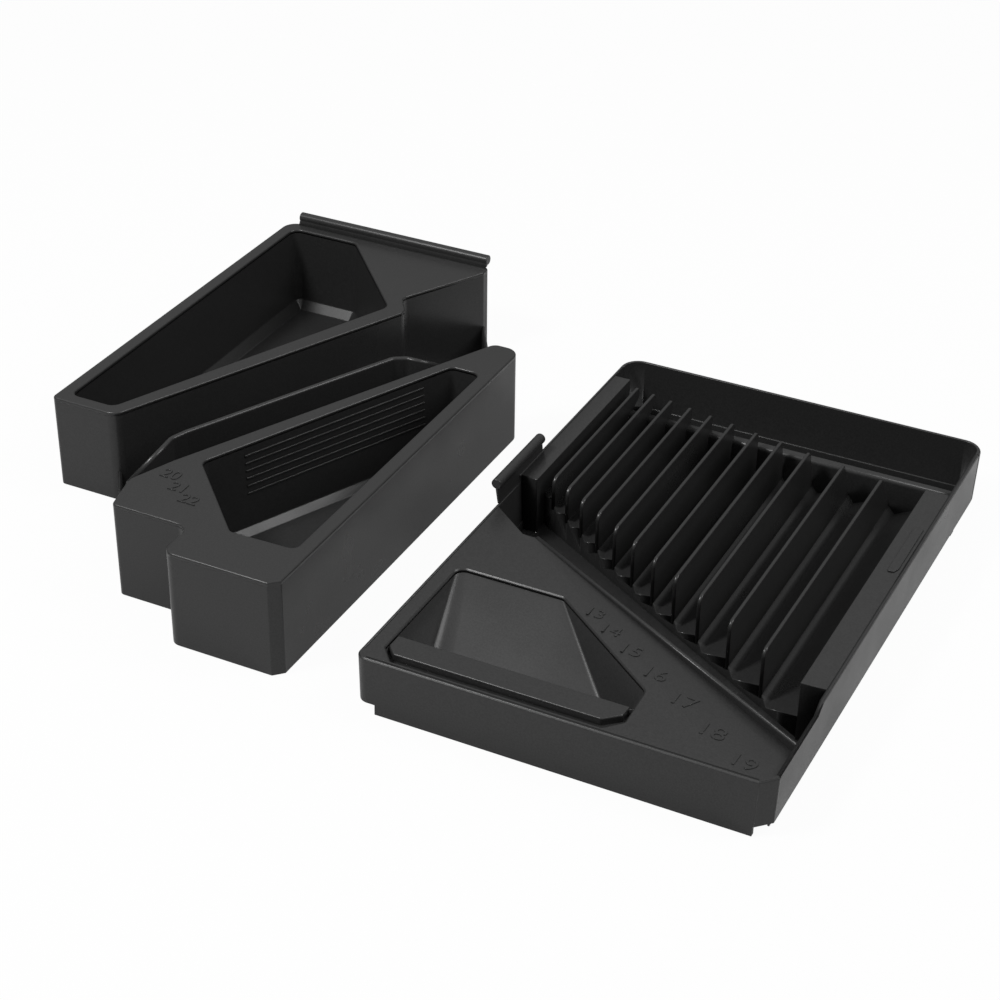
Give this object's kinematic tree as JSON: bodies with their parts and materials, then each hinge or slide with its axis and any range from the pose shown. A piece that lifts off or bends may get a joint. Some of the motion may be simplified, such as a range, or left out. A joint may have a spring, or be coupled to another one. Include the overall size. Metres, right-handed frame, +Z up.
{
  "type": "wrench tray insert",
  "caption": "Black moulded tray set for wrenches: a deep tray with slanted slots and two pockets, and a shallow tray with thin dividers, stepped slot floors, a parts scoop and a hook lip.",
  "frame": {"origin": "centre of the set's bounding box at the height of the surface both trays rest on", "axes": "+X to the right along both trays' front edges, from the bottom tray to the top tray; +Y to the rear; +Z up"},
  "size_m": [0.4576, 0.3567, 0.0618],
  "materials": {
    "bottom_tray_plastic": "black, finely textured",
    "top_tray_plastic": "black, finely textured"
  },
  "bodies": {
    "bottom_tray": {"rear_box_walls": "bottom_tray_plastic", "rear_box_deck": "bottom_tray_plastic", "rear_pocket": "bottom_tray_plastic", "front_box_walls": "bottom_tray_plastic", "front_box_deck": "bottom_tray_plastic", "front_pocket": "bottom_tray_plastic", "rear_slot_floor": "bottom_tray_plastic", "front_slot_floor": "bottom_tray_plastic", "slot_ridge": "bottom_tray_plastic", "left_end_stop": "bottom_tray_plastic", "right_end_stop": "bottom_tray_plastic", "grip_rail": "bottom_tray_plastic", "pocket_rib_01": "bottom_tray_plastic", "pocket_rib_02": "bottom_tray_plastic", "pocket_rib_03": "bottom_tray_plastic", "pocket_rib_04": "bottom_tray_plastic", "pocket_rib_05": "bottom_tray_plastic", "pocket_rib_06": "bottom_tray_plastic"},
    "top_tray": {"front_wall": "top_tray_plastic", "left_wall": "top_tray_plastic", "right_wall": "top_tray_plastic", "rear_wall": "top_tray_plastic", "rear_ridge": "top_tray_plastic", "rear_floor": "top_tray_plastic", "left_ledge": "top_tray_plastic", "right_ledge": "top_tray_plastic", "ledge_strip": "top_tray_plastic", "corner_floor": "top_tray_plastic", "front_deck": "top_tray_plastic", "deck_side_wall": "top_tray_plastic", "number_deck": "top_tray_plastic", "deck_lip": "top_tray_plastic", "well_floor": "top_tray_plastic", "parts_pocket": "top_tray_plastic", "pocket_shelf": "top_tray_plastic", "pocket_groove": "top_tray_plastic", "hook_lip": "top_tray_plastic", "divider_01": "top_tray_plastic", "divider_02": "top_tray_plastic", "divider_03": "top_tray_plastic", "divider_04": "top_tray_plastic", "divider_05": "top_tray_plastic", "divider_06": "top_tray_plastic", "divider_07": "top_tray_plastic", "divider_08": "top_tray_plastic", "divider_09": "top_tray_plastic", "divider_10": "top_tray_plastic", "divider_11": "top_tray_plastic", "slot_floor_01": "top_tray_plastic", "slot_floor_02": "top_tray_plastic", "slot_floor_03": "top_tray_plastic", "slot_floor_04": "top_tray_plastic", "slot_floor_05": "top_tray_plastic", "slot_floor_06": "top_tray_plastic", "slot_floor_07": "top_tray_plastic", "slot_floor_08": "top_tray_plastic", "slot_floor_09": "top_tray_plastic", "slot_floor_10": "top_tray_plastic", "slot_floor_11": "top_tray_plastic", "slot_floor_12": "top_tray_plastic"}
  },
  "joints": [
    {"name": "top_tray_lift", "type": "slide", "parent": "bottom_tray", "child": "top_tray", "axis": [0, 0, 1], "range_m": [0, 0.08]}
  ]
}
